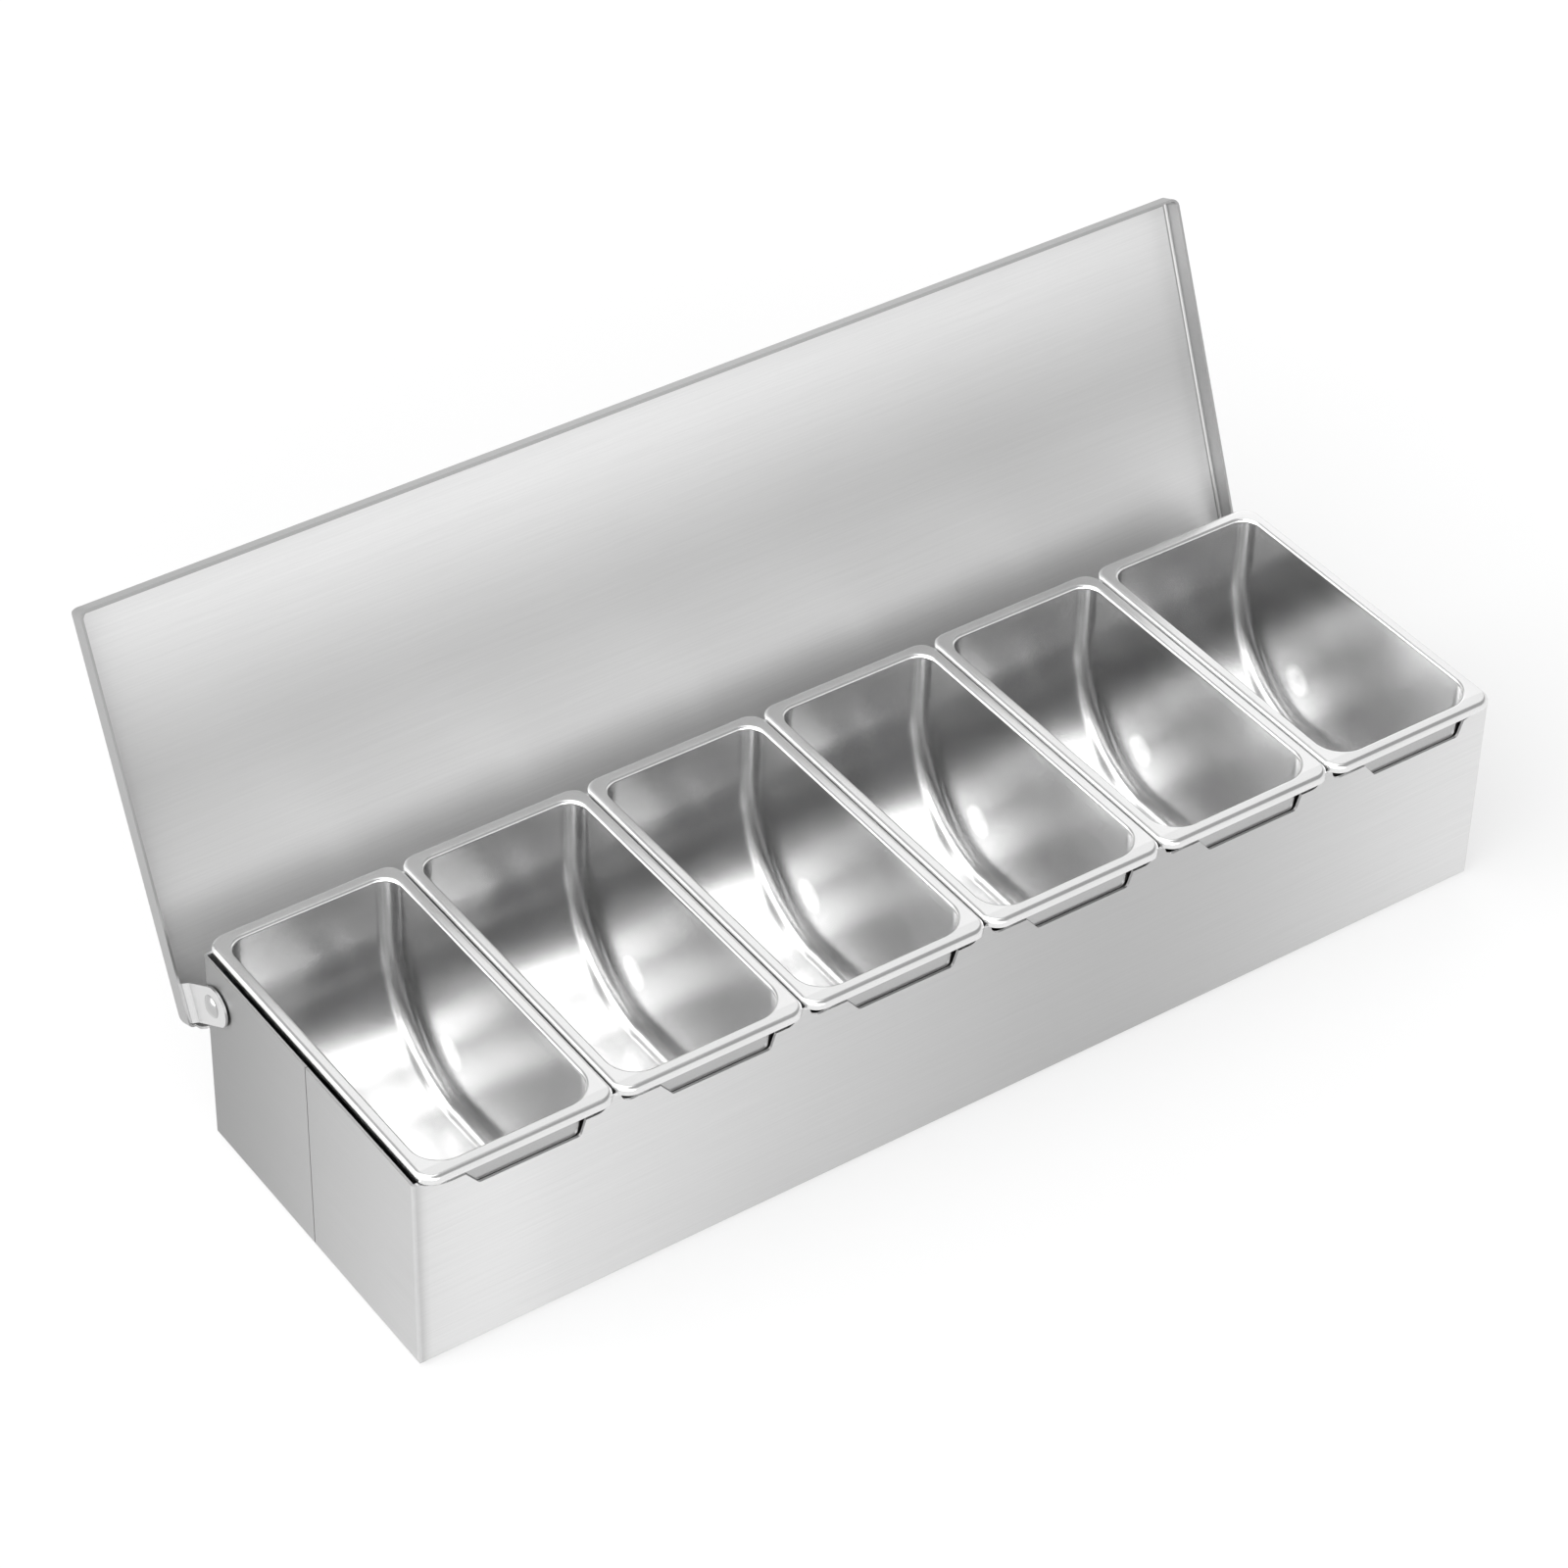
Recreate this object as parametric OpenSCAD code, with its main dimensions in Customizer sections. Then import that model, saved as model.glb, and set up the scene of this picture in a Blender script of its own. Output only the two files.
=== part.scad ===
// Six-pan condiment caddy: a folded sheet box, six lift-out pans with scooped backs,
// and one full-length lid that turns on a riveted ear at each end of the box.
// Millimetres, Z up. Origin: centre of the box's floor, on its underside. +X runs along
// the box, +Y points to its back. The lid is drawn open, resting on its rear skirt.

/* [Box] */
// Length of the box, outside
box_l = 450; // [380:5:560]
// Depth of the box, front to back, outside
box_d = 133.5; // [124:0.5:150]
// Height of the box's walls
box_h = 81.4; // [76:0.2:96]
// Thickness of the box's sheet
sheet_t = 1.0; // [0.8:0.1:1.2]
// Outside radius of the upright corner bends
corner_r = 1.3; // [1.3:0.1:3]
// Outside radius of the bends along the floor
base_r = 2.2; // [1.4:0.1:4]
// Width of the open butt seam in each end
seam_gap = 0.35; // [0.2:0.05:0.6]

/* [Front wall edge] */
// Drop of the wall's edge under each pan's rim
recess_drop = 4.9; // [3:0.1:6]
// Radius at the foot of each tip between two pans
recess_r = 4.5; // [2:0.1:6]
// Width of each tip that carries the rims
tip_w = 4.4; // [3:0.1:5]
// Radius of the ramp up to each end of the front wall
ramp_r = 20; // [10:1:26]
// Depth of the finger notches below the recess
notch_drop = 6.1; // [4:0.1:10]
// Distance from the tip on the left to a finger notch
notch_left = 17.6; // [14:0.1:22]
// Distance from a finger notch to the tip on the right
notch_right = 11.2; // [10:0.1:18]
// Sideways run of a notch's left flank
flank_left = 5.0; // [2:0.1:7]
// Sideways run of a notch's right flank
flank_right = 2.1; // [1.5:0.1:7]
// Corner radius at a notch's floor
notch_r = 1.5; // [0.5:0.1:2]

/* [Seam straps] */
// Width of the strap behind each seam
strap_w = 18; // [12:1:26]
// Thickness of the straps
strap_t = 0.8; // [0.6:0.1:1.2]
// Distance that a strap stops short of the floor and of the wall's edge
strap_margin = 2.4; // [1:0.1:6]

/* [Pans] */
// Gap between two pans' rims
pan_gap = 0.5; // [0.4:0.1:1.5]
// Distance from the box's left end to the first rim
row_left = 2.4; // [0.5:0.1:4]
// Distance from the last rim to the box's right end
row_right = 0.6; // [0.5:0.1:4]
// Thickness of the pans' sheet
pan_t = 0.6; // [0.5:0.1:0.8]
// Overhang of the rims beyond the front wall
rim_front = 3.4; // [2.8:0.1:3.7]
// Overhang of the rims beyond the back wall
rim_back = 3.2; // [2.8:0.1:3.7]
// Height of the rims above the box's edge
rim_h = 3.1; // [2.6:0.1:5]
// Distance from a rim's front and back edges to the bowl's inside
rim_land = 5.5; // [5.3:0.1:6.4]
// Distance from a rim's side edges to the bowl's inside
rim_side = 4.9; // [4:0.1:6.4]
// Corner radius of the rims, seen from above
rim_corner_r = 6.5; // [4:0.1:9]
// Outside radius where a rim turns down
rim_bend_r = 1.8; // [1:0.1:2.4]
// Radius where a bowl turns out into its rim
lip_r = 1.3; // [0.8:0.1:2]
// Space between the box's floor and the pans
under_pan = 6.4; // [4.5:0.1:10]
// Upright corner radius at the front of a bowl
bowl_front_r = 11; // [8:0.5:14]
// Radius that rounds a bowl's floor into its front and sides
floor_r = 8; // [7.5:0.5:9]
// Radius that rounds a bowl's scoop and back into its sides
scoop_fillet = 7; // [4:0.5:7]
// Radius of the scooped back
scoop_r = 60; // [57:1:68]
// Height of the scoop's top above a bowl's floor
scoop_rise = 54; // [48:1:56]

/* [Lid] */
// Thickness of the lid's sheet
lid_t = 0.9; // [0.7:0.1:1.2]
// Distance from the hinge axis to the lid's front edge
lid_reach = 139.8; // [138:0.1:145]
// Distance from the hinge axis to the lid's rear edge
lid_rear = 12.2; // [11.8:0.1:15]
// Gap between the box's ends and the lid's side flanges
side_gap = 3.1; // [2.5:0.1:4]
// Height of the lid's underside above the rims, with the lid level
lid_head = 5.0; // [3:0.1:7]
// Depth of the front and side flanges, from the lid's top
flange_h = 8.4; // [6:0.1:12]
// Bend radius along the front edge, outside
lid_front_r = 3.2; // [2:0.1:5]
// Bend radius along the rear edge, outside
lid_rear_r = 7; // [4:0.5:7.5]
// Bend radius along both ends, outside
lid_side_r = 1.8; // [1.3:0.1:2.8]
// Radius of the lid's front corners, seen from above
lid_corner_r = 3.5; // [1.4:0.1:5]
// Radius of the lower corners of the lid's rear skirt
skirt_corner_r = 3.5; // [1:0.5:6]
// Angle between the level lid and the open lid
open_angle = 112; // [100:0.5:118]
// Gap between the open lid's skirt and the back wall
stop_gap = 0.1; // [0.1:0.05:0.3]

/* [Hinge] */
// Distance from the back wall's face to the hinge axis
hinge_in = 6.5; // [4.6:0.1:8]
// Height of the hinge axis
hinge_z = 63.7; // [58:0.1:68]
// Thickness of the hinge ears
ear_t = 0.9; // [0.8:0.1:1.2]
// Thickness of the washers between ear and box
washer_t = 0.7; // [0.5:0.1:1]
// Width of an ear
ear_w = 14.6; // [12:0.1:16]
// Slant of an ear, leaning back as it rises
ear_slant = 9.5; // [0:0.5:12]
// Height over which an ear steps out from the box's end to the lid's flange
ear_step = 4; // [3:0.5:8]
// Distance from the hinge axis to the centre of an ear's round end
ear_end = 2.8; // [0:0.1:5]
// Radius of the rivets' shank
rivet_r = 2.5; // [2:0.1:3]
// Radial running gap between rivet and ear
running_gap = 0.05; // [0.02:0.01:0.1]
// Radius of the rivets' outer head
head_r = 4.3; // [3.6:0.1:5.5]
// Height of the outer head's dome
head_h = 1.5; // [0.8:0.1:1.8]
// Axial gap between a rivet's head and the ear
head_gap = 0.05; // [0.02:0.01:0.2]
// Radius of the clinched tail inside the box
tail_r = 4.0; // [3.4:0.1:5]
// Height of the clinched tail
tail_h = 1.0; // [0.6:0.1:1.6]
// Outside radius of the washers
washer_r = 4.6; // [3.8:0.1:6]

/* [Hidden] */
$fn = 64;
// The pans share the box's length equally
pan_count = 6;
rim_w = (box_l - row_left - row_right + pan_gap) / pan_count - pan_gap;
pitch = rim_w + pan_gap;
rim_top = box_h + rim_h;
rim_y0 = -box_d / 2 - rim_front;
rim_y1 = box_d / 2 + rim_back;
bowl_half = rim_w / 2 - rim_side;
bowl_y0 = rim_y0 + rim_land;
bowl_y1 = rim_y1 - rim_land;
floor_z = sheet_t + under_pan + pan_t;
scoop_y = bowl_y1 - scoop_r;
scoop_z = floor_z + scoop_rise;
recess_z = box_h - recess_drop;
notch_z = recess_z - notch_drop;
hinge_y = box_d / 2 - hinge_in;
// The lid's own heights and depths are counted from the hinge axis, with the lid level
lid_top = rim_top + lid_head + lid_t - hinge_z;
flange_face = box_l / 2 + side_gap;
lid_half = flange_face + lid_t;
flange_foot = lid_top - flange_h;
// The lid's flat meets its folds this far past each bend, in (x, y, z) of the level lid
fold_flat = 0.5;
seam_x = lid_half - lid_side_r - fold_flat;
seam_front = fold_flat + lid_front_r - lid_reach;
seam_rear = lid_rear - lid_rear_r - fold_flat;
seam_z = lid_top - lid_rear_r - fold_flat;
// The skirt is as deep as it takes to rest on the back wall at the open angle
skirt_foot = (hinge_in + stop_gap - lid_rear * cos(open_angle)) / sin(open_angle);
// A cutter passes this far beyond the face that it cuts
cut = 1;

// Where the tip between pan i and the next one stands, counted from the box's centre
function tip_x(i) = -box_l / 2 + row_left + i * pitch - pan_gap / 2;
// Middle of pan i
function pan_x(i) = -box_l / 2 + row_left + rim_w / 2 + (i - 1) * pitch;
// Sideways reach of an arc of radius r that climbs by rise from its lowest point
function arc_run(r, rise) = r > rise ? sqrt(r * r - (r - rise) * (r - rise)) : r;
// Points of an arc about c from angle a to angle b
function arc(c, r, a, b, steps = 5) =
    [for (i = [0:steps]) c + r * [cos(a + (b - a) * i / steps), sin(a + (b - a) * i / steps)]];

// ---- Profiles -------------------------------------------------------------------------

// What a rounded corner removes; the corner is at the origin, the sheet lies at -X and -Y
module corner_cut(r) {
    translate([-r, -r]) difference() {
        square(r + cut);
        circle(r);
    }
}

// Rectangle from (lo, bottom) to (hi, top) whose top corners are rounded
module arched(lo, hi, bottom, top, r_lo, r_hi) {
    difference() {
        translate([lo, bottom]) square([hi - lo, top - bottom]);
        translate([hi, top]) corner_cut(r_hi);
        translate([lo, top]) mirror([1, 0]) corner_cut(r_lo);
    }
}

// Rectangle about the origin in X, from y0 to y1, with rounded corners
module rounded_plan(half, y0, y1, r_front, r_back) {
    difference() {
        translate([-half, y0]) square([2 * half, y1 - y0]);
        for (side = [0, 1]) mirror([side, 0]) {
            translate([half, y1]) corner_cut(r_back);
            translate([half, y0]) mirror([0, 1]) corner_cut(r_front);
        }
    }
}

// Carries a profile drawn in (y, z) along X
module along_x(x0, x1) {
    translate([x0, 0, 0]) rotate([90, 0, 90]) linear_extrude(x1 - x0) children();
}

// Carries a profile drawn in (x, z) along Y
module along_y(y0, y1) {
    translate([0, y1, 0]) rotate([90, 0, 0]) linear_extrude(y1 - y0) children();
}

// Runs a profile round a rounded rectangle. The profile is drawn in (u, z): u = 0 is the
// rectangle's edge, and material lies at u < 0 as far as the middle.
module around(half, y0, y1, r_front, r_back) {
    for (side = [0, 1]) mirror([side, 0, 0]) {
        translate([half - r_front, y0 + r_front, 0]) turned(r_front) children();
        translate([half - r_back, y1 - r_back, 0]) turned(r_back) children();
        along_y(y0 + r_front, y1 - r_back) translate([half, 0]) children();
    }
    along_x(-half + r_back, half - r_back) translate([y1, 0]) children();
    mirror([0, 1, 0]) along_x(-half + r_front, half - r_front) translate([-y0, 0]) children();
}

// Revolves the part of an edge profile that lies within a corner of radius r
module turned(r) {
    rotate_extrude() intersection() {
        translate([r, 0]) children();
        translate([0, -box_h]) square([2 * r, 3 * box_h]);
    }
}

// ---- Box ------------------------------------------------------------------------------

// The folded box as a solid block, taken in by inset on every side and on the floor
module box_block(inset, top) {
    half = box_l / 2 - inset;
    back = box_d / 2 - inset;
    floor_r = base_r - inset;
    intersection() {
        translate([0, 0, inset]) linear_extrude(top - inset)
            rounded_plan(half, -back, back, corner_r - inset, corner_r - inset);
        mirror([0, 0, 1]) along_x(-box_l, box_l) arched(-back, back, -top, -inset, floor_r, floor_r);
        mirror([0, 0, 1]) along_y(-box_d, box_d) arched(-half, half, -top, -inset, floor_r, floor_r);
    }
}

// Dip in the front wall's edge between x0 and x1, with its own end radii
module recess(x0, x1, r0, r1) {
    c0 = x0 + arc_run(r0, recess_drop);
    c1 = x1 - arc_run(r1, recess_drop);
    translate([c0, recess_z]) square([c1 - c0, recess_drop + cut]);
    translate([c0, recess_z + r0]) circle(r0);
    translate([c1, recess_z + r1]) circle(r1);
    if (min(r0, r1) < recess_drop)
        translate([r0 < recess_drop ? x0 : c0, recess_z + min(r0, r1)])
            square([(r1 < recess_drop ? x1 : c1) - (r0 < recess_drop ? x0 : c0),
                recess_drop - min(r0, r1) + cut]);
}

// Finger notch below a recess, with rounded corners at its floor
module finger_notch(x0, x1) {
    lean0 = atan2(notch_drop, flank_left);
    lean1 = atan2(notch_drop, flank_right);
    floor0 = x0 + flank_left + notch_r * tan(lean0 / 2);
    floor1 = x1 - flank_right - notch_r * tan(lean1 / 2);
    polygon(concat(
        [[x1, recess_z + cut], [x0, recess_z + cut], [x0, recess_z]],
        arc([floor0, notch_z + notch_r], notch_r, 270 - lean0, 270),
        arc([floor1, notch_z + notch_r], notch_r, 270, 270 + lean1),
        [[x1, recess_z]]
    ));
}

// Everything that the front wall's edge lacks
module front_edge() {
    for (i = [1:pan_count]) {
        x0 = i == 1 ? -box_l / 2 + tip_w / 2 : tip_x(i - 1) + tip_w / 2;
        x1 = i == pan_count ? box_l / 2 - tip_w / 2 : tip_x(i) - tip_w / 2;
        recess(x0, x1, i == 1 ? ramp_r : recess_r, i == pan_count ? ramp_r : recess_r);
        finger_notch(tip_x(i - 1) + notch_left, tip_x(i) - notch_right);
    }
}

module body_tub() {
    color("gainsboro") difference() {
        box_block(0, box_h);
        box_block(sheet_t, box_h + cut);
        along_y(-box_d / 2 - cut, -box_d / 2 + sheet_t + cut / 2) front_edge();
        for (side = [0, 1]) mirror([side, 0, 0]) {
            translate([box_l / 2 - sheet_t - cut, -seam_gap / 2, base_r])
                cube([sheet_t + 2 * cut, seam_gap, box_h]);
            along_hinge(box_l / 2 - sheet_t - cut, box_l / 2 + cut, rivet_r + running_gap);
        }
    }
}

// Strap behind a seam, on the right-hand end
module seam_strap() {
    color("silver") translate([box_l / 2 - sheet_t - strap_t, -strap_w / 2, base_r + strap_margin])
        cube([strap_t, strap_w, box_h - base_r - 2 * strap_margin]);
}

module seam_strap_left() {
    mirror([1, 0, 0]) seam_strap();
}

module seam_strap_right() {
    seam_strap();
}

// ---- Pans -----------------------------------------------------------------------------

// A bowl's solid form, grown by g outside its inner faces and reaching up to top: a trough
// with a rolled floor edge, cut back by the scoop
module bowl(g, top) {
    intersection() {
        trough(g, top);
        scoop(g, top);
    }
}

// The bowl's front and sides, with a flat floor, left long at the back
module trough(g, top) {
    half = bowl_half + g;
    y0 = bowl_y0 - g;
    y1 = bowl_y1 + g + cut;
    low = floor_z - g;
    front_r = bowl_front_r + g;
    edge_r = floor_r + g;
    for (side = [-1, 1])
        translate([side * (half - front_r), y0 + front_r, 0]) rotate_extrude() difference() {
            translate([0, low]) square([front_r, top - low]);
            translate([front_r, low]) mirror([0, 1]) corner_cut(edge_r);
        }
    along_x(-half + front_r, half - front_r) difference() {
        translate([y0, low]) square([y1 - y0, top - low]);
        translate([y0, low]) mirror([1, 0]) mirror([0, 1]) corner_cut(edge_r);
    }
    mirror([0, 0, 1]) along_y(y0 + front_r, y1) arched(-half, half, -top, -low, edge_r, edge_r);
}

// The bowl's back: a quarter turn of a round-shouldered drum below an upright wall.
// In front of the drum's axis it limits nothing.
module scoop(g, top) {
    half = bowl_half + g;
    reach = scoop_r + g;
    fillet = scoop_fillet + g;
    translate([-rim_w, rim_y0, 0]) cube([2 * rim_w, scoop_y - rim_y0, top]);
    translate([0, 0, scoop_z]) linear_extrude(top - scoop_z) difference() {
        translate([-half, scoop_y]) square([2 * half, reach]);
        translate([half, scoop_y + reach]) corner_cut(fillet);
        translate([-half, scoop_y + reach]) mirror([1, 0]) corner_cut(fillet);
    }
    translate([0, scoop_y, scoop_z]) rotate([0, 90, 0]) rotate_extrude(angle = 90) difference() {
        translate([0, -half]) square([reach, 2 * half]);
        translate([reach, half]) corner_cut(fillet);
        translate([reach, -half]) mirror([0, 1]) corner_cut(fillet);
    }
}

// Solid under a rim's skin, taken in by inset; foot is the height of its lower face
module rim_block(inset, foot) {
    around(rim_w / 2 - inset, rim_y0 + inset, rim_y1 - inset, rim_corner_r - inset, rim_corner_r - inset)
        difference() {
            translate([-rim_w / 2, foot]) square([rim_w / 2, rim_top - inset - foot]);
            translate([0, rim_top - inset]) corner_cut(rim_bend_r - inset);
        }
}

// What the rolled lip of the bowl's mouth removes
module mouth() {
    around(bowl_half, bowl_y0, bowl_y1, bowl_front_r, scoop_fillet) difference() {
        translate([-bowl_half, rim_top - lip_r]) square([bowl_half + lip_r, lip_r + cut]);
        translate([lip_r, rim_top - lip_r]) circle(lip_r);
    }
}

module pan(i) {
    color("lightgray") translate([pan_x(i), 0, 0]) difference() {
        union() {
            difference() {
                rim_block(0, box_h);
                rim_block(pan_t, box_h - cut);
            }
            bowl(pan_t, rim_top - pan_t / 2);
        }
        bowl(0, rim_top);
        mouth();
    }
}

// ---- Lid ------------------------------------------------------------------------------

// Puts a form drawn about the level lid's hinge axis in its open place
module opened() {
    translate([0, hinge_y, hinge_z]) rotate([-open_angle, 0, 0]) children();
}

// Cross-section of the level lid's outside, taken in by inset, down to foot
module lid_section(inset, foot) {
    arched(-lid_reach + inset, lid_rear - inset, foot, lid_top - inset,
        lid_front_r - inset, lid_rear_r - inset);
}

// The level lid as a solid block, taken in by inset, down to foot
module lid_block(inset, foot) {
    half = lid_half - inset;
    side_r = lid_side_r - inset;
    intersection() {
        along_x(-half, half) lid_section(inset, foot);
        along_y(-lid_reach, lid_rear) arched(-half, half, foot, lid_top - inset, side_r, side_r);
        translate([0, 0, foot]) linear_extrude(lid_top - foot)
            rounded_plan(half, -lid_reach + inset, lid_rear - inset, lid_corner_r - inset, side_r);
    }
}

// The lid's sheet with its flanges down to foot
module lid_shell(foot) {
    difference() {
        lid_block(0, foot);
        lid_block(lid_t, foot - cut);
    }
}

// The stretch of the lid's sheet that lies in the block between two corners
module lid_stretch(low, high, foot) {
    color("gainsboro") opened() intersection() {
        lid_shell(foot);
        translate(low) cube(high - low);
    }
}

module lid_cover() {
    lid_stretch(
        [-seam_x, seam_front, flange_foot - cut], [seam_x, seam_rear, lid_top + cut], flange_foot
    );
}

module lid_front_fold() {
    lid_stretch(
        [-lid_half - cut, -lid_reach - cut, flange_foot - cut],
        [lid_half + cut, seam_front, lid_top + cut],
        flange_foot
    );
}

module lid_right_fold() {
    lid_stretch(
        [seam_x, seam_front, flange_foot - cut],
        [lid_half + cut, lid_rear + cut, lid_top + cut],
        flange_foot
    );
}

module lid_left_fold() {
    mirror([1, 0, 0]) lid_right_fold();
}

module lid_rear_fold() {
    lid_stretch(
        [-seam_x, seam_rear, seam_z],
        [seam_x, lid_rear + cut, lid_top + cut],
        min(seam_z, flange_foot)
    );
}

module lid_skirt() {
    color("gainsboro") opened() mirror([0, 0, 1]) along_y(lid_rear - lid_t, lid_rear) arched(
        -seam_x, seam_x, -seam_z, -skirt_foot, skirt_corner_r, skirt_corner_r
    );
}

// ---- Hinge ----------------------------------------------------------------------------

// Round bar along the hinge axis of the box's right-hand end
module along_hinge(x0, x1, r) {
    translate([x0, hinge_y, hinge_z]) rotate([0, 90, 0]) cylinder(h = x1 - x0, r = r);
}

// Outline of an ear about the hinge axis, with a round end. Its upper part stays clear of
// the lid's bends, inside the flange.
module ear_outline() {
    intersection() {
        rotate(-ear_slant) {
            translate([-ear_w / 2, -ear_end]) square([ear_w, 2 * lid_top]);
            translate([0, -ear_end]) circle(ear_w / 2);
        }
        lid_section(lid_side_r, -lid_top);
    }
}

// Section of an ear's sheet in (x, z): flat beside the box, then two opposite bends of
// equal radius that carry it out to the flange's inner face
module ear_section() {
    inner = box_l / 2 + washer_t;
    out = flange_face - ear_t - inner;
    turn = 2 * atan2(out, ear_step);
    inside_r = ear_step / (2 * sin(turn)) - ear_t / 2;
    outside_r = inside_r + ear_t;
    first = [inner + outside_r, flange_foot - ear_step];
    second = [flange_face - outside_r, flange_foot];
    polygon(concat(
        [[inner + ear_t, -lid_top]],
        arc(first, inside_r, 180, 180 - turn),
        arc(second, outside_r, -turn, 0),
        [[flange_face, lid_top], [flange_face - ear_t, lid_top]],
        arc(second, inside_r, 0, -turn),
        arc(first, outside_r, 180 - turn, 180),
        [[inner, -lid_top]]
    ));
}

// Ear that joins the lid's right-hand flange to the box, with a hole for the rivet
module hinge_ear() {
    inner = box_l / 2 + washer_t;
    color("whitesmoke") difference() {
        opened() intersection() {
            along_x(inner, flange_face) ear_outline();
            along_y(-lid_reach, lid_reach) ear_section();
        }
        along_hinge(inner - cut, inner + ear_t + cut, rivet_r + running_gap);
    }
}

module hinge_ear_left() {
    mirror([1, 0, 0]) hinge_ear();
}

module hinge_ear_right() {
    hinge_ear();
}

// Rivet with a domed head outside the ear and a flat tail inside the box
module hinge_rivet() {
    inner = box_l / 2 - sheet_t;
    outer = box_l / 2 + washer_t + ear_t + head_gap;
    dome_r = (head_r * head_r + head_h * head_h) / (2 * head_h);
    color("white") translate([0, hinge_y, hinge_z]) rotate([0, 90, 0]) rotate_extrude() {
        translate([0, inner - tail_h]) square([tail_r, tail_h]);
        translate([0, inner - tail_h]) square([rivet_r, outer - inner + tail_h + head_h / 2]);
        intersection() {
            translate([0, outer]) square([head_r, head_h]);
            translate([0, outer + head_h - dome_r]) circle(dome_r);
        }
    }
}

module hinge_rivet_left() {
    mirror([1, 0, 0]) hinge_rivet();
}

module hinge_rivet_right() {
    hinge_rivet();
}

// Washer that keeps the ear off the box's end
module hinge_washer() {
    color("darkgray") difference() {
        along_hinge(box_l / 2, box_l / 2 + washer_t, washer_r);
        along_hinge(box_l / 2 - cut, box_l / 2 + washer_t + cut, rivet_r + running_gap);
    }
}

module hinge_washer_left() {
    mirror([1, 0, 0]) hinge_washer();
}

module hinge_washer_right() {
    hinge_washer();
}

body_tub();
seam_strap_left();
seam_strap_right();
for (i = [1:pan_count]) pan(i);
lid_cover();
lid_front_fold();
lid_left_fold();
lid_right_fold();
lid_rear_fold();
lid_skirt();
hinge_ear_left();
hinge_ear_right();
hinge_rivet_left();
hinge_rivet_right();
hinge_washer_left();
hinge_washer_right();
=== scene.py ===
"""Stainless condiment caddy: looks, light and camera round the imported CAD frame."""

import math

import bmesh
import bpy
from mathutils import Matrix, Vector


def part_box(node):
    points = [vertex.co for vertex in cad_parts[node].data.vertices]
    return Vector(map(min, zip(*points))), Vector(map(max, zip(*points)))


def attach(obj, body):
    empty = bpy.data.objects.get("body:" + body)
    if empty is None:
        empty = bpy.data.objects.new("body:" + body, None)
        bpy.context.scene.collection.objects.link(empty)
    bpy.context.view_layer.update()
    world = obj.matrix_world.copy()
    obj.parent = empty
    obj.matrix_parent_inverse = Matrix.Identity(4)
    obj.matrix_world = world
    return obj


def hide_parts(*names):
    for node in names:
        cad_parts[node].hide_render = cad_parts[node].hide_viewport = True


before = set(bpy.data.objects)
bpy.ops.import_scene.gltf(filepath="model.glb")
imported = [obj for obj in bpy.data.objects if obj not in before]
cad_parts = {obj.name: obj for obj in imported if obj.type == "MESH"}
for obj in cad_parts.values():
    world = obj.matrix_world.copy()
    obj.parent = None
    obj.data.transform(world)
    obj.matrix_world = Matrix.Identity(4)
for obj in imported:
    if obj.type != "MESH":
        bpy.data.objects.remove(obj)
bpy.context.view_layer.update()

PAN_NAMES = ["pan_%d" % number for number in range(1, 7)]
FOLD_NODES = ["lid_front_fold", "lid_left_fold", "lid_right_fold", "lid_rear_fold", "lid_skirt"]

# ---- Sizes ------------------------------------------------------------------------------
# Metres in a millimetre
MM = 0.001
# The pans' sizes, in millimetres, as the frame has them
PAN_SHEET = 0.6
RIM_LAND = 5.5
RIM_SIDE = 4.9
RIM_DROP = 3.1
RIM_CORNER_R = 6.5
RIM_BEND_R = 1.8
LIP_R = 1.3
BOWL_FRONT_R = 11.0
BOWL_FILLET = 7.0
SCOOP_R = 60.0
SCOOP_RISE = 54.0
# The smaller arc that carries the scoop on to the floor, in the picture only
SCOOP_BLEND_R = 32.0
# How far the outer front stands forward in the picture, to narrow the gap at the finger notches
FRONT_PROUD = 0.3


# ---- Node helpers -----------------------------------------------------------------------
def new_material(name):
    """A material with a Principled shader. Returns the material, its tree and the shader."""
    material = bpy.data.materials.new(name)
    material.use_nodes = True
    tree = material.node_tree
    shader = tree.nodes["Principled BSDF"]
    return material, tree, shader


def coordinates(tree, kind):
    """Where a point of the object is, as kind says: Object, Normal or Generated."""
    return tree.nodes.new("ShaderNodeTexCoord").outputs[kind]


def component(tree, vector, axis):
    """One component of a vector, by the name of its axis."""
    split = tree.nodes.new("ShaderNodeSeparateXYZ")
    tree.links.new(vector, split.inputs["Vector"])
    return split.outputs[axis]


def calculate(tree, operation, *values):
    """What a Math node makes of its values, each one a node's output or a plain number."""
    node = tree.nodes.new("ShaderNodeMath")
    node.operation = operation
    for socket, value in zip(node.inputs, values):
        if isinstance(value, float):
            socket.default_value = value
        else:
            tree.links.new(value, socket)
    return node.outputs[0]


def map_range(tree, factor, span, values=(0.0, 1.0), shape="LINEAR"):
    """Two values for the two ends of a factor's span, with a slope between and level beyond."""
    slope = tree.nodes.new("ShaderNodeMapRange")
    slope.interpolation_type = shape
    slope.inputs["From Min"].default_value = span[0]
    slope.inputs["From Max"].default_value = span[1]
    slope.inputs["To Min"].default_value = values[0]
    slope.inputs["To Max"].default_value = values[1]
    tree.links.new(factor, slope.inputs["Value"])
    return slope.outputs["Result"]


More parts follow.
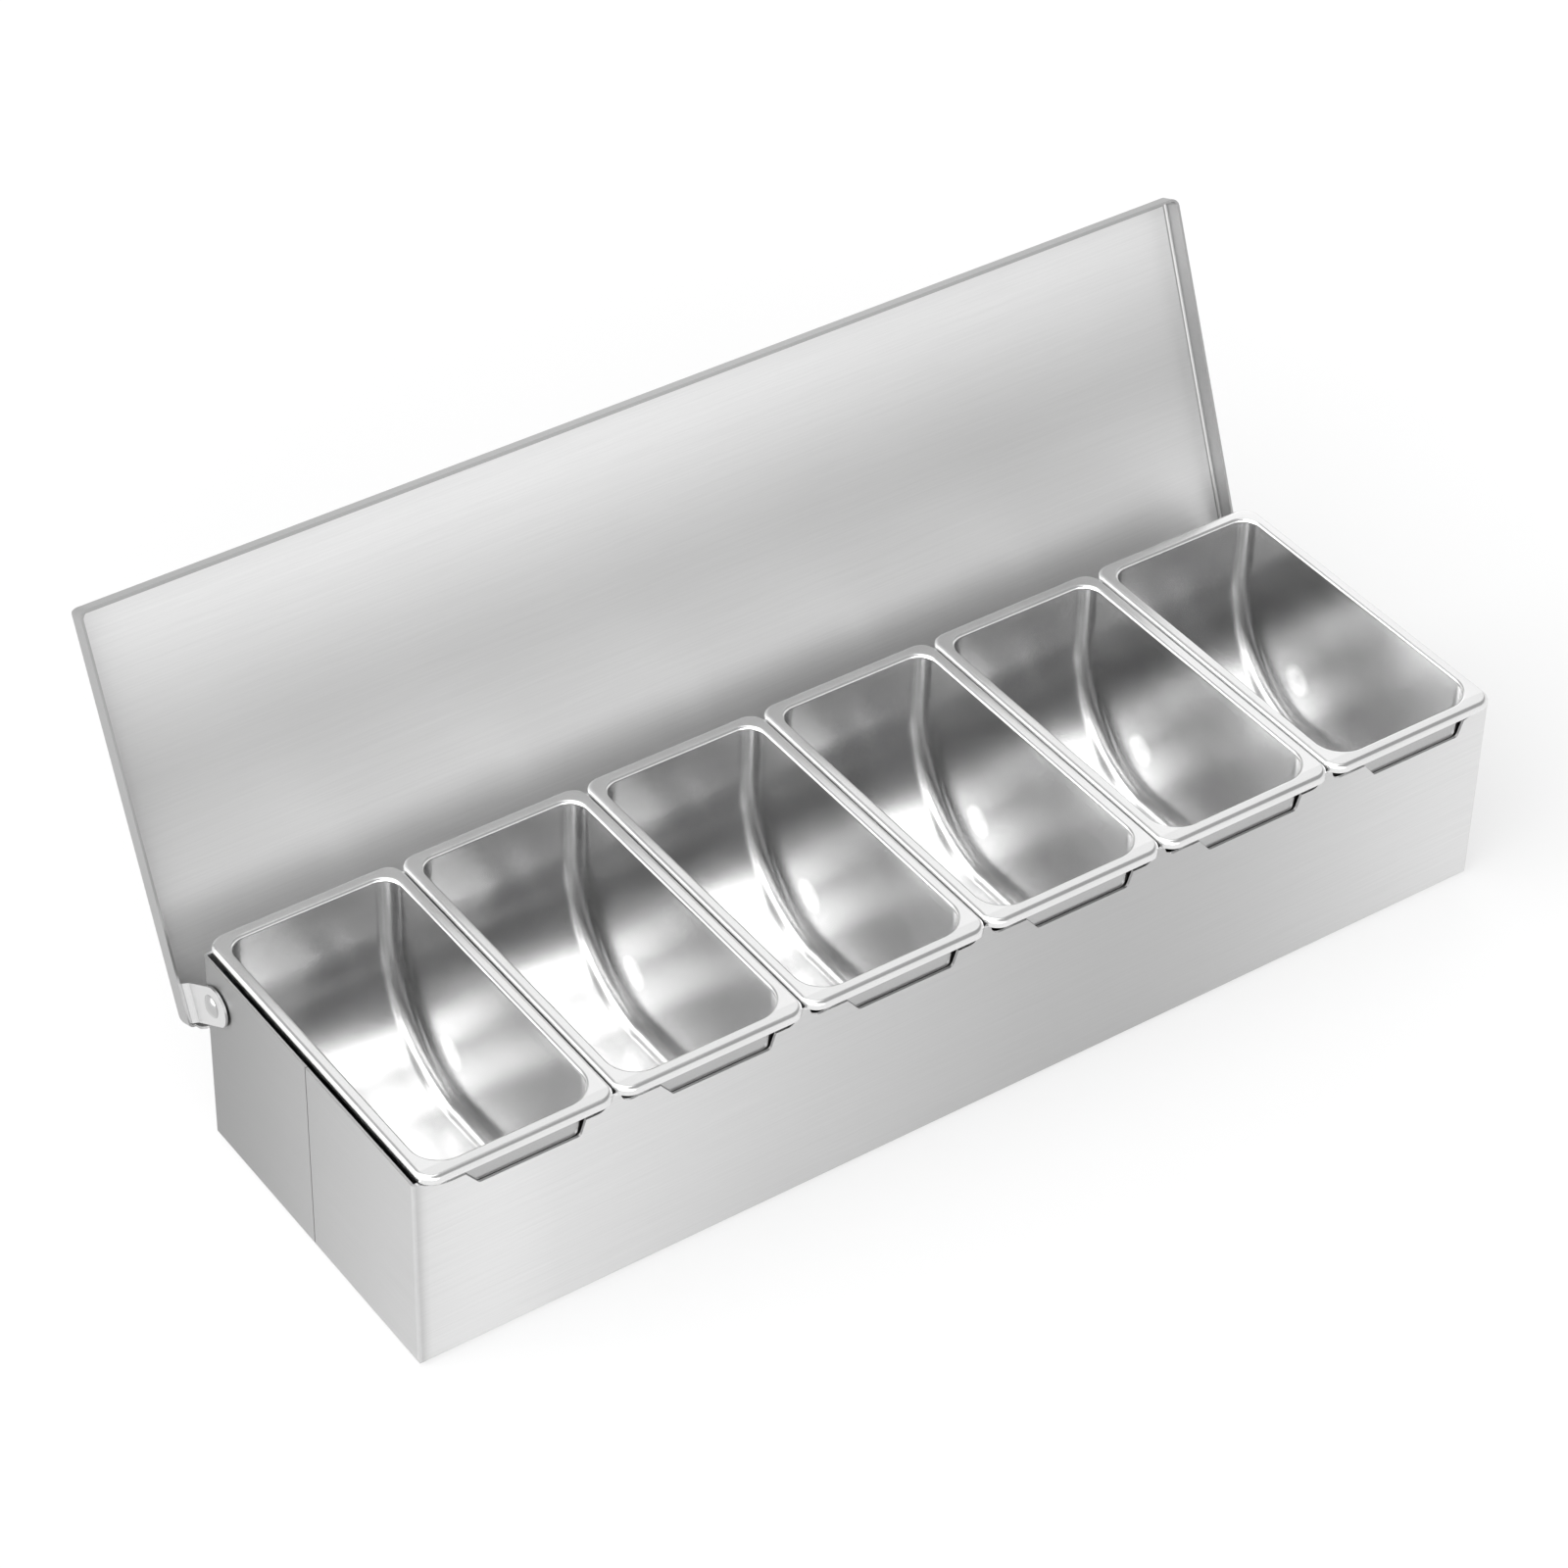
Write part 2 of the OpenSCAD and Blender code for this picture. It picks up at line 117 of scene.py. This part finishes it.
def tone_ramp(tree, factor, stops, interpolation):
    """A grey that changes with a factor of 0 to 1, through stops of (factor, tone)."""
    ramp = tree.nodes.new("ShaderNodeValToRGB")
    ramp.color_ramp.interpolation = interpolation
    while len(ramp.color_ramp.elements) < len(stops):
        ramp.color_ramp.elements.new(0.5)
    for element, (position, tone) in zip(ramp.color_ramp.elements, stops):
        element.position = position
        element.color = (tone, tone, tone, 1)
    tree.links.new(factor, ramp.inputs["Fac"])
    return ramp.outputs["Color"]


def either(tree, mask, off, on):
    """One of two values, by a mask."""
    blend = tree.nodes.new("ShaderNodeMix")
    tree.links.new(mask, blend.inputs["Factor"])
    tree.links.new(off, blend.inputs["A"])
    tree.links.new(on, blend.inputs["B"])
    return blend.outputs["Result"]


def as_grey(tree, value):
    """A value as a grey colour."""
    colour = tree.nodes.new("ShaderNodeCombineColor")
    for channel in ("Red", "Green", "Blue"):
        tree.links.new(value, colour.inputs[channel])
    return colour.outputs["Color"]


def stretched_noise(tree, scale, detail=3.0, roughness=0.6):
    """Noise over the object's own coordinates, in cycles a metre along X, Y and Z."""
    stretch = tree.nodes.new("ShaderNodeMapping")
    stretch.inputs["Scale"].default_value = scale
    noise = tree.nodes.new("ShaderNodeTexNoise")
    noise.inputs["Scale"].default_value = 1.0
    noise.inputs["Detail"].default_value = detail
    noise.inputs["Roughness"].default_value = roughness
    tree.links.new(coordinates(tree, "Object"), stretch.inputs["Vector"])
    tree.links.new(stretch.outputs["Vector"], noise.inputs["Vector"])
    return noise.outputs["Fac"]


# The span that holds most of a noise factor
NOISE_SPAN = (0.3, 0.7)


def about(tree, noise, middle, reach):
    """A value that follows a noise factor, from reach below a middle value to reach above it."""
    return map_range(tree, noise, NOISE_SPAN, (middle - reach, middle + reach))


def add_bump(tree, shader, factor, height):
    """Bumps the shader's surface by height metres over the factor's range."""
    bump = tree.nodes.new("ShaderNodeBump")
    bump.inputs["Strength"].default_value = 1.0
    bump.inputs["Distance"].default_value = height
    tree.links.new(factor, bump.inputs["Height"])
    tree.links.new(bump.outputs["Normal"], shader.inputs["Normal"])


# ---- Materials --------------------------------------------------------------------------
# Noise of brushing, polish clouds and scratches, in cycles a metre along X, Y and Z
BRUSHED_ALONG_X = (25, 1600, 1600)
BRUSHED_ALONG_Y = (1600, 25, 1600)
CLOUDS = (35, 35, 35)
SCRATCHES = (900, 120, 900)
# Height of the brushed lines and scratches, in metres
LINE_HEIGHT = 0.0000005
# How far brushing and polish move a grey and a roughness up and down
BRUSHED_GREY_REACH = 0.03
POLISHED_GREY_REACH = 0.02
ROUGHNESS_REACH = 0.02
# Direction that the brushed sheets' reflections are blurred along
BRUSH_TANGENT = (0.0, 0.02, 1.0)
# How much of its normal lies along X on an end face
END_FACE_SHARE = 0.7
# Share of a normal along an axis at which a face begins to count as facing that way, and does
FACING_SPAN = (0.55, 0.95)

# Stretches that the broad painted sheen and shade, and the masks between them, run over, in metres
# along an axis of the object
LENGTH_SPAN = (-0.225, 0.225)
BOX_WIDTH_SPAN = (-0.067, 0.067)
PLAIN_WIDTH_SPAN = (-0.08, 0.08)
LID_HEIGHT_SPAN = (0.08, 0.185)
PAN_HEIGHT_SPAN = (0.0, 0.085)
PAN_FRONT_SPAN = (-0.0650, -0.0640)
PAN_RIM_SPAN = (0.0795, 0.0815)
PAN_FLAT_SPAN = (0.0825, 0.0845)
# Broad painted sheen and shade, as (share of the stretch, grey)
# Painted sheen and shade on the box: bright towards both ends, dull past the middle, darker at the
# back of its ends
BOX_LENGTH_PAINTED_SHEEN = ((0.0, 0.45), (0.01, 0.84), (0.12, 0.84), (0.5, 0.5), (0.75, 0.52), (1.0, 0.86))
BOX_END_PAINTED_SHADE = ((0.0, 0.56), (0.5, 0.43), (1.0, 0.28))
# Painted sheen and shade on the lid: its reflections baked into its grey along its length and
# height
LID_LENGTH_PAINTED_SHEEN = ((0.0, 0.86), (0.45, 1.0), (1.0, 0.78))
LID_HEIGHT_PAINTED_SHEEN = ((0.0, 0.8), (0.3, 0.6), (0.5, 0.56), (0.8, 0.82), (1.0, 0.95))
# Painted shade on the lid's folds: darker than its flat
FOLD_LENGTH_PAINTED_SHADE = ((0.0, 0.4), (0.5, 0.5), (1.0, 0.4))
# Painted shade on the washers and seam strap: near black, darker to the back
PLAIN_WIDTH_PAINTED_SHADE = ((0.0, 0.14), (1.0, 0.1))
# Painted shade up a pan's wall, standing in for its reflections
PAN_WALL_PAINTED_SHADE = ((0.0, 0.85), (0.3, 0.6), (0.55, 0.68), (0.8, 1.0), (1.0, 1.0))
# Painted shade: tones that the lid's outer face, the pans' outer fronts and their rims' flats are
# dulled by
LID_OUTER_PAINTED_SHADE = 0.62
PAN_FRONT_PAINTED_SHADE = 0.32
PAN_RIM_PAINTED_SHADE = 0.92
# The painted highlight on a pan's wall: its place as (y, z), and how far off it is full and gone
PAN_HIGHLIGHT_PLACE = (0.028, 0.030)
PAN_HIGHLIGHT_FULL = 0.003
PAN_HIGHLIGHT_GONE = 0.013


def across_grain(tree, shader):
    """Blurs reflections across the sheet's length more than along it, as brushing does."""
    across = tree.nodes.new("ShaderNodeCombineXYZ")
    for axis, share in zip("XYZ", BRUSH_TANGENT):
        across.inputs[axis].default_value = share
    tree.links.new(across.outputs["Vector"], shader.inputs["Tangent"])


def end_face_mask(tree):
    """1 on the faces that look along X, else 0."""
    shape = tree.nodes.new("ShaderNodeNewGeometry")
    share = calculate(tree, "ABSOLUTE", component(tree, shape.outputs["Normal"], "X"))
    return calculate(tree, "GREATER_THAN", share, END_FACE_SHARE)


def facing_mask(tree, axis, side):
    """1 on the faces that look along an axis to one side (1 or -1), fading to 0."""
    share = component(tree, coordinates(tree, "Normal"), axis)
    begins, counts = FACING_SPAN
    return map_range(tree, share, (side * begins, side * counts))


def sheen(tree, axis, span, stops):
    """A broad change of tone along one axis of the object, over a span in metres: a painted sheen
    or shade, or a mask between them.
    """
    place = component(tree, coordinates(tree, "Object"), axis)
    return tone_ramp(tree, map_range(tree, place, span), stops, "B_SPLINE")


def round_highlight_mask(tree, place, full, gone):
    """1 near a line along X through a place (y, z), fading to 0 between two distances."""
    flat = tree.nodes.new("ShaderNodeVectorMath")
    flat.operation = "MULTIPLY"
    flat.inputs[1].default_value = (0, 1, 1)
    away = tree.nodes.new("ShaderNodeVectorMath")
    away.operation = "DISTANCE"
    away.inputs[1].default_value = (0, *place)
    tree.links.new(coordinates(tree, "Object"), flat.inputs[0])
    tree.links.new(flat.outputs["Vector"], away.inputs[0])
    return map_range(tree, away.outputs["Value"], (gone, full), shape="SMOOTHSTEP")


def brushed_steel(name, tone, roughness, anisotropy, metallic=1.0):
    """Steel brushed along the sheet's length. tone makes its broad painted sheen and shade from
    (tree, mask).
    """
    material, tree, shader = new_material(name)
    mask = end_face_mask(tree)
    lines = either(tree, mask, stretched_noise(tree, BRUSHED_ALONG_X),
                   stretched_noise(tree, BRUSHED_ALONG_Y))
    grey = calculate(tree, "MULTIPLY", tone(tree, mask),
                     about(tree, lines, 1.0, BRUSHED_GREY_REACH))
    tree.links.new(as_grey(tree, grey), shader.inputs["Base Color"])
    tree.links.new(about(tree, lines, roughness, ROUGHNESS_REACH), shader.inputs["Roughness"])
    shader.inputs["Metallic"].default_value = metallic
    shader.inputs["Anisotropic"].default_value = anisotropy
    across_grain(tree, shader)
    add_bump(tree, shader, lines, LINE_HEIGHT)
    return material


def box_painted_sheen(tree, mask):
    """Painted sheen and shade on the box's sheet: dullest past the middle of its length, and at
    the back of its ends.
    """
    lengthwise = sheen(tree, "X", LENGTH_SPAN, BOX_LENGTH_PAINTED_SHEEN)
    endwise = sheen(tree, "Y", BOX_WIDTH_SPAN, BOX_END_PAINTED_SHADE)
    return either(tree, mask, lengthwise, endwise)


def lid_painted_sheen(tree, mask):
    """Painted sheen and shade on the lid's flat: bright at its free edge and in mid-length, and
    duller on its outside.
    """
    lengthwise = sheen(tree, "X", LENGTH_SPAN, LID_LENGTH_PAINTED_SHEEN)
    upward = sheen(tree, "Z", LID_HEIGHT_SPAN, LID_HEIGHT_PAINTED_SHEEN)
    outer = map_range(tree, facing_mask(tree, "Y", 1), (0.0, 1.0), (1.0, LID_OUTER_PAINTED_SHADE))
    return calculate(tree, "MULTIPLY", calculate(tree, "MULTIPLY", lengthwise, upward), outer)


def fold_painted_shade(tree, mask):
    """Painted shade on the lid's folded edges, darker than its flat."""
    return sheen(tree, "X", LENGTH_SPAN, FOLD_LENGTH_PAINTED_SHADE)


def plain_painted_shade(tree, mask):
    """Painted shade on a small sheet: dark, and a little darker to the back."""
    return sheen(tree, "Y", PLAIN_WIDTH_SPAN, PLAIN_WIDTH_PAINTED_SHADE)


def polished_steel(name, grey, roughness, painted_light=None):
    """Steel polished to soft reflections, with faint clouding and fine scratches.

    Its last argument, if given, makes a broad painted sheen, highlight and shade from (tree,
    clouded grey).
    """
    material, tree, shader = new_material(name)
    clouds = stretched_noise(tree, CLOUDS, 2.0)
    scratches = stretched_noise(tree, SCRATCHES, 2.0)
    tone = about(tree, clouds, grey, POLISHED_GREY_REACH)
    if painted_light:
        tone = painted_light(tree, tone)
    tree.links.new(tone, shader.inputs["Base Color"])
    tree.links.new(about(tree, clouds, roughness, ROUGHNESS_REACH), shader.inputs["Roughness"])
    shader.inputs["Metallic"].default_value = 1.0
    add_bump(tree, shader, scratches, LINE_HEIGHT)
    return material


def pan_painted_light(tree, tone):
    """Painted light on a pan: painted shade on the wall with a painted highlight, painted shade on
    the outer front and a duller painted flat.
    """
    wall = sheen(tree, "Z", PAN_HEIGHT_SPAN, PAN_WALL_PAINTED_SHADE)
    painted_highlight = round_highlight_mask(tree, PAN_HIGHLIGHT_PLACE, PAN_HIGHLIGHT_FULL, PAN_HIGHLIGHT_GONE)
    side = calculate(tree, "MULTIPLY", tone, calculate(tree, "MAXIMUM", wall, painted_highlight))
    bowl = either(tree, facing_mask(tree, "X", -1), tone, side)
    front = sheen(tree, "Y", PAN_FRONT_SPAN, ((0.0, PAN_FRONT_PAINTED_SHADE), (1.0, 1.0)))
    flat = sheen(tree, "Z", PAN_FLAT_SPAN, ((0.0, 1.0), (1.0, PAN_RIM_PAINTED_SHADE)))
    rim_mask = sheen(tree, "Z", PAN_RIM_SPAN, ((0.0, 0.0), (1.0, 1.0)))
    return calculate(tree, "MULTIPLY", bowl, either(tree, rim_mask, front, flat))


# ---- Pans -------------------------------------------------------------------------------
# Steps round a corner, a floor fillet and a rim's bends, and down a bowl's wall and its scoop
CORNER_STEPS = 14
FILLET_STEPS = 14
BEND_STEPS = 6
WALL_STEPS = 4
SCOOP_STEPS = 60
# Points of a pan this close together become one, in metres
WELD_DISTANCE = 0.000001
# Edges sharper than this many degrees stay creases, and how much large faces lead the shading
CREASE_ANGLE = 22.0
FLAT_LEAD = 80


def inset_of(radius, height):
    """How far a floor fillet stands in from its wall, at a height above the floor."""
    if height >= radius:
        return 0.0
    return radius - math.sqrt(radius * radius - (radius - height) ** 2)


def plain_ring(half, front, back, front_r, back_r, z):
    """A rounded rectangle at height z, as points from the front left corner round."""
    points = []
    corners = ((-half + front_r, front + front_r, front_r, 180),
               (half - front_r, front + front_r, front_r, 270),
               (half - back_r, back - back_r, back_r, 0),
               (-half + back_r, back - back_r, back_r, 90))
    for x, y, radius, start in corners:
        for step in range(CORNER_STEPS + 1):
            angle = math.radians(start + 90 * step / CORNER_STEPS)
            points.append((x + radius * math.cos(angle), y + radius * math.sin(angle), z))
    return points


def scoop_reach(offset, depth):
    """How far back the scoop stands at a depth below its axis, offset out from its core.

    The core is an arc from the back wall that a smaller arc carries on, level, to the floor.
    """
    core_r = SCOOP_R - BOWL_FILLET
    core_depth = SCOOP_RISE - BOWL_FILLET
    blend_depth = core_depth - SCOOP_BLEND_R
    apart = core_r - SCOOP_BLEND_R
    blend_y = math.sqrt(apart * apart - blend_depth * blend_depth)
    radius = core_r + offset
    if depth <= radius * blend_depth / apart:
        return math.sqrt(radius * radius - depth * depth)
    radius = SCOOP_BLEND_R + offset
    depth -= blend_depth
    return blend_y + math.sqrt(max(radius * radius - depth * depth, 0.0))


def scoop_ring(half, front, front_r, fillet, scoop_y, scoop_z, low, z):
    """A bowl's outline at a height below its scoop's top."""
    inset = inset_of(fillet, z - low)
    points = plain_ring(half - inset, front + inset, scoop_y, front_r - inset, 0.0, z)
    points = points[:2 * (CORNER_STEPS + 1)]
    cosine = max(-1.0, min(1.0, 1.0 - inset / fillet))
    first = math.acos(cosine)
    depth = scoop_z - z
    back = []
    for step in range(CORNER_STEPS + 1):
        angle = first + (math.pi / 2 - first) * step / CORNER_STEPS
        x = half - fillet + fillet * math.cos(angle)
        back.append((x, scoop_y + scoop_reach(fillet * math.sin(angle), depth), z))
    points += back
    points += [(-x, y, height) for x, y, height in reversed(back)]
    return points


def bowl_rings(grow, top, plan):
    """Rings down a bowl's face, from top to its floor, a distance grow out from its inside.

    plan is the inside's half width, front, back and floor.
    """
    half, front, back, low = plan
    scoop_y = back - SCOOP_R
    scoop_z = low + SCOOP_RISE
    half += grow
    front -= grow
    low -= grow
    fillet = BOWL_FILLET + grow
    front_r = BOWL_FRONT_R + grow
    rings = []
    for step in range(WALL_STEPS):
        z = top + (scoop_z - top) * step / WALL_STEPS
        rings.append(plain_ring(half, front, back + grow, front_r, fillet, z))
    heights = [low + fillet + (scoop_z - low - fillet) * (1 - step / SCOOP_STEPS)
               for step in range(SCOOP_STEPS + 1)]
    heights += [low + fillet * (1 - math.sin(math.pi / 2 * step / FILLET_STEPS))
                for step in range(1, FILLET_STEPS + 1)]
    for z in heights:
        rings.append(scoop_ring(half, front, front_r, fillet, scoop_y, scoop_z, low, z))
    return rings


def rim_rings(inset, outline, foot, top):
    """Rings from a rim's foot up over its turned edge, ending on its flat.

    outline is the rim's half width, front and back, and inset how far in from it the rings lie.
    """
    half, front, back = outline
    bend = RIM_BEND_R - inset
    rings = [plain_ring(half - inset, front + inset, back - inset, RIM_CORNER_R - inset,
                        RIM_CORNER_R - inset, foot)]
    for step in range(BEND_STEPS + 1):
        angle = math.pi / 2 * step / BEND_STEPS
        into = inset + bend * (1 - math.cos(angle))
        z = top - inset - bend * (1 - math.sin(angle))
        rings.append(plain_ring(half - into, front + into, back - into, RIM_CORNER_R - into,
                                RIM_CORNER_R - into, z))
    return rings


def lip_rings(plan, top):
    """Rings from a rim's flat down into the bowl, over the rolled lip."""
    half, front, back = plan[:3]
    rings = []
    for step in range(BEND_STEPS + 1):
        angle = math.pi / 2 * step / BEND_STEPS
        out = LIP_R * (1 - math.sin(angle))
        z = top - LIP_R * (1 - math.cos(angle))
        rings.append(plain_ring(half + out, front - out, back + out, BOWL_FRONT_R + out,
                                BOWL_FILLET + out, z))
    return rings


def skin(name, rings):
    """A closed mesh through the rings, with a flat cap on the first and the last."""
    mesh = bmesh.new()
    rows = [[mesh.verts.new([MM * value for value in point]) for point in ring] for ring in rings]
    count = len(rows[0])
    for low, high in zip(rows, rows[1:]):
        for here in range(count):
            there = (here + 1) % count
            mesh.faces.new((low[here], low[there], high[there], high[here]))
    mesh.faces.new(list(reversed(rows[0])))
    mesh.faces.new(rows[-1])
    bmesh.ops.remove_doubles(mesh, verts=mesh.verts, dist=WELD_DISTANCE)
    bmesh.ops.recalc_face_normals(mesh, faces=mesh.faces)
    data = bpy.data.meshes.new(name)
    mesh.to_mesh(data)
    mesh.free()
    return data


def smooth_sheet(piece):
    """Shades a sheet part smoothly, with its creases kept and its flats flat."""
    piece.data.shade_smooth()
    piece.data.set_sharp_from_angle(angle=math.radians(CREASE_ANGLE))
    weighted = piece.modifiers.new("flat_faces_lead", "WEIGHTED_NORMAL")
    weighted.keep_sharp = True
    weighted.weight = FLAT_LEAD


def make_pan(node, material):
    """The pressed pan that stands for one CAD pan."""
    low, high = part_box(node)
    middle_x = (low[0] + high[0]) / 2
    half, front, back = (high[0] - low[0]) / 2 / MM, low[1] / MM, high[1] / MM
    rim = (half, front, back)
    top = high[2] / MM
    foot = top - RIM_DROP
    floor = low[2] / MM + PAN_SHEET
    inside = (half - RIM_SIDE, front + RIM_LAND, back - RIM_LAND, floor)
    outside = (half - RIM_SIDE, front + RIM_LAND - FRONT_PROUD, back - RIM_LAND, floor)
    rings = list(reversed(bowl_rings(0.0, top - LIP_R, inside)))
    rings += list(reversed(lip_rings(inside, top)))[1:]
    rings += list(reversed(rim_rings(0.0, rim, foot, top)))
    rings += rim_rings(PAN_SHEET, rim, foot, top)
    rings += bowl_rings(PAN_SHEET, top - PAN_SHEET, outside)
    data = skin(node + "_sheet", rings)
    data.transform(Matrix.Translation((middle_x, 0, 0)))
    piece = bpy.data.objects.new(node + "_sheet", data)
    bpy.context.collection.objects.link(piece)
    data.materials.append(material)
    smooth_sheet(piece)
    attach(piece, node + "_body")
    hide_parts(node)


# ---- Dressing the CAD nodes -------------------------------------------------------------
def dress(node, material):
    """Gives a CAD node its material."""
    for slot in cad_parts[node].material_slots:
        slot.material = material


# ---- Stage, light and camera ------------------------------------------------------------
FLOOR_SIZE = 8.0
FLOOR_LEVEL = -0.0004
FLOOR_GREY = 0.7
FLOOR_ROUGHNESS = 0.9
# Share of plain white in the floor, as the camera, gloss and glass see it
FLOOR_WHITE = 0.6


def camera_ray_mask(tree):
    """1 for rays that come from the camera, or through gloss or glass; else 0."""
    path = tree.nodes.new("ShaderNodeLightPath").outputs
    seen = calculate(tree, "MAXIMUM", path["Is Camera Ray"], path["Is Glossy Ray"])
    return calculate(tree, "MAXIMUM", seen, path["Is Transmission Ray"])


def make_floor():
    """A pale plain floor that shows white, with the object's soft shadow kept."""
    bpy.ops.mesh.primitive_plane_add(size=FLOOR_SIZE, location=(0, 0, FLOOR_LEVEL))
    floor = bpy.context.object
    floor.name = "floor"
    material, tree, shader = new_material("floor_white")
    shader.inputs["Base Color"].default_value = (FLOOR_GREY, FLOOR_GREY, FLOOR_GREY, 1)
    shader.inputs["Roughness"].default_value = FLOOR_ROUGHNESS
    shader.inputs["Specular IOR Level"].default_value = 0.0
    white = tree.nodes.new("ShaderNodeEmission")
    white.inputs["Strength"].default_value = 1.0
    share = calculate(tree, "MULTIPLY", camera_ray_mask(tree), FLOOR_WHITE)
    mix = tree.nodes.new("ShaderNodeMixShader")
    tree.links.new(share, mix.inputs["Fac"])
    tree.links.new(shader.outputs["BSDF"], mix.inputs[1])
    tree.links.new(white.outputs["Emission"], mix.inputs[2])
    tree.links.new(mix.outputs["Shader"], tree.nodes["Material Output"].inputs["Surface"])
    floor.data.materials.append(material)


# Brightness of the soft room by the height of the direction looked in: 0 straight down,
# 0.5 at the horizon, 1 straight up
ROOM_LIGHT = ((0.50, 0.95), (0.66, 1.0), (0.78, 0.4), (0.92, 0.4), (1.00, 0.5))
# Soft glows in the room: azimuth from +Y towards +X and height, the angles at which the glow
# is full and gone, in degrees, and its strength
ROOM_GLOWS = ((268, 32, 14, 50, 3.7), (214, 37, 4, 15, 3.0), (196, 14, 6, 31, 2.4),
              (34, 36, 8, 26, 0.7), (0, 78, 5, 24, 1.4))


def glow(tree, direction, azimuth, height, full, gone, strength):
    """Brightness of one round soft glow in a direction of the room."""
    azimuth, height = math.radians(azimuth), math.radians(height)
    near = tree.nodes.new("ShaderNodeVectorMath")
    near.operation = "DOT_PRODUCT"
    near.inputs[1].default_value = (math.sin(azimuth) * math.cos(height),
                                    math.cos(azimuth) * math.cos(height), math.sin(height))
    tree.links.new(direction, near.inputs[0])
    span = (math.cos(math.radians(gone)), math.cos(math.radians(full)))
    return map_range(tree, near.outputs["Value"], span, (0.0, strength), "SMOOTHSTEP")


def make_world():
    """A soft pale room that is dimmer overhead, with round glows as its main lights."""
    world = bpy.data.worlds.new("soft_room")
    bpy.context.scene.world = world
    world.use_nodes = True
    tree = world.node_tree
    direction = coordinates(tree, "Generated")
    height = calculate(tree, "MULTIPLY_ADD", component(tree, direction, "Z"), 0.5, 0.5)
    light = tone_ramp(tree, height, ROOM_LIGHT, "EASE")
    for glow_values in ROOM_GLOWS:
        light = calculate(tree, "ADD", light, glow(tree, direction, *glow_values))
    tree.links.new(light, tree.nodes["Background"].inputs["Strength"])
    tree.nodes["Background"].inputs["Color"].default_value = (1, 1, 1, 1)


def softbox(name, place, size, power, aim=(0, 0, 0.05)):
    """A rectangular soft lamp of a size in metres, aimed at a point."""
    lamp = bpy.data.lights.new(name, "AREA")
    lamp.shape = "RECTANGLE"
    lamp.size, lamp.size_y = size
    lamp.energy = power
    holder = bpy.data.objects.new(name, lamp)
    holder.location = place
    direction = Vector(aim) - Vector(place)
    holder.rotation_euler = direction.to_track_quat("-Z", "Y").to_euler()
    bpy.context.collection.objects.link(holder)


# The camera's place in metres, the way it looks in degrees (azimuth from +Y towards +X, drop below
# the horizon, roll), its lens and sensor in millimetres, and how far it sees in metres
CAMERA_PLACE = (-0.78341, -1.04183, 1.16923)
CAMERA_AZIMUTH = 35.641
CAMERA_DROP = 39.427
CAMERA_ROLL = -1.379
CAMERA_LENS = 112.89
CAMERA_SENSOR = 36
CAMERA_REACH = 50


def make_camera():
    """The camera at the photograph's angle, with a long lens."""
    azimuth, drop, roll = (math.radians(v) for v in (CAMERA_AZIMUTH, CAMERA_DROP, CAMERA_ROLL))
    forward = Vector((math.sin(azimuth) * math.cos(drop), math.cos(azimuth) * math.cos(drop),
                      -math.sin(drop)))
    level = Vector((math.cos(azimuth), -math.sin(azimuth), 0))
    right = level * math.cos(roll) + forward.cross(level) * math.sin(roll)
    up = right.cross(forward)
    lens = bpy.data.cameras.new("camera")
    lens.lens = CAMERA_LENS
    lens.sensor_width = CAMERA_SENSOR
    lens.clip_end = CAMERA_REACH
    camera = bpy.data.objects.new("camera", lens)
    bpy.context.collection.objects.link(camera)
    turn = Matrix((right, up, -forward)).transposed().to_4x4()
    camera.matrix_world = Matrix.Translation(CAMERA_PLACE) @ turn
    bpy.context.scene.camera = camera


# ---- Put together -----------------------------------------------------------------------
# The broad greys of the box, lid, folds, small sheets and pans are painted sheen, highlight and
# shade
box_steel = brushed_steel("brushed_box", box_painted_sheen, roughness=0.42, anisotropy=0.7)
lid_steel = brushed_steel("brushed_lid", lid_painted_sheen, roughness=0.42, anisotropy=0.7, metallic=0.65)
fold_steel = brushed_steel("brushed_fold", fold_painted_shade, roughness=0.34, anisotropy=0.5)
plain_steel = brushed_steel("plain_sheet", plain_painted_shade, roughness=0.4, anisotropy=0.3)
pan_steel = polished_steel("polished_pan", grey=0.9, roughness=0.24, painted_light=pan_painted_light)
ear_steel = polished_steel("polished_ear", grey=0.68, roughness=0.25)
rivet_steel = polished_steel("polished_rivet", grey=0.5, roughness=0.2)
dress("body_tub", box_steel)
dress("lid_cover", lid_steel)
for fold_node in FOLD_NODES:
    dress(fold_node, fold_steel)
for end in ("left", "right"):
    dress("seam_strap_" + end, plain_steel)
    dress("hinge_washer_" + end, plain_steel)
    dress("hinge_ear_" + end, ear_steel)
    dress("hinge_rivet_" + end, rivet_steel)
for pan_name in PAN_NAMES:
    make_pan(pan_name, pan_steel)

make_floor()
make_world()
softbox("overhead", place=(0.0, 0.0, 2.0), size=(0.5, 0.5), power=0.5)
make_camera()
bpy.context.scene.view_settings.view_transform = "Standard"
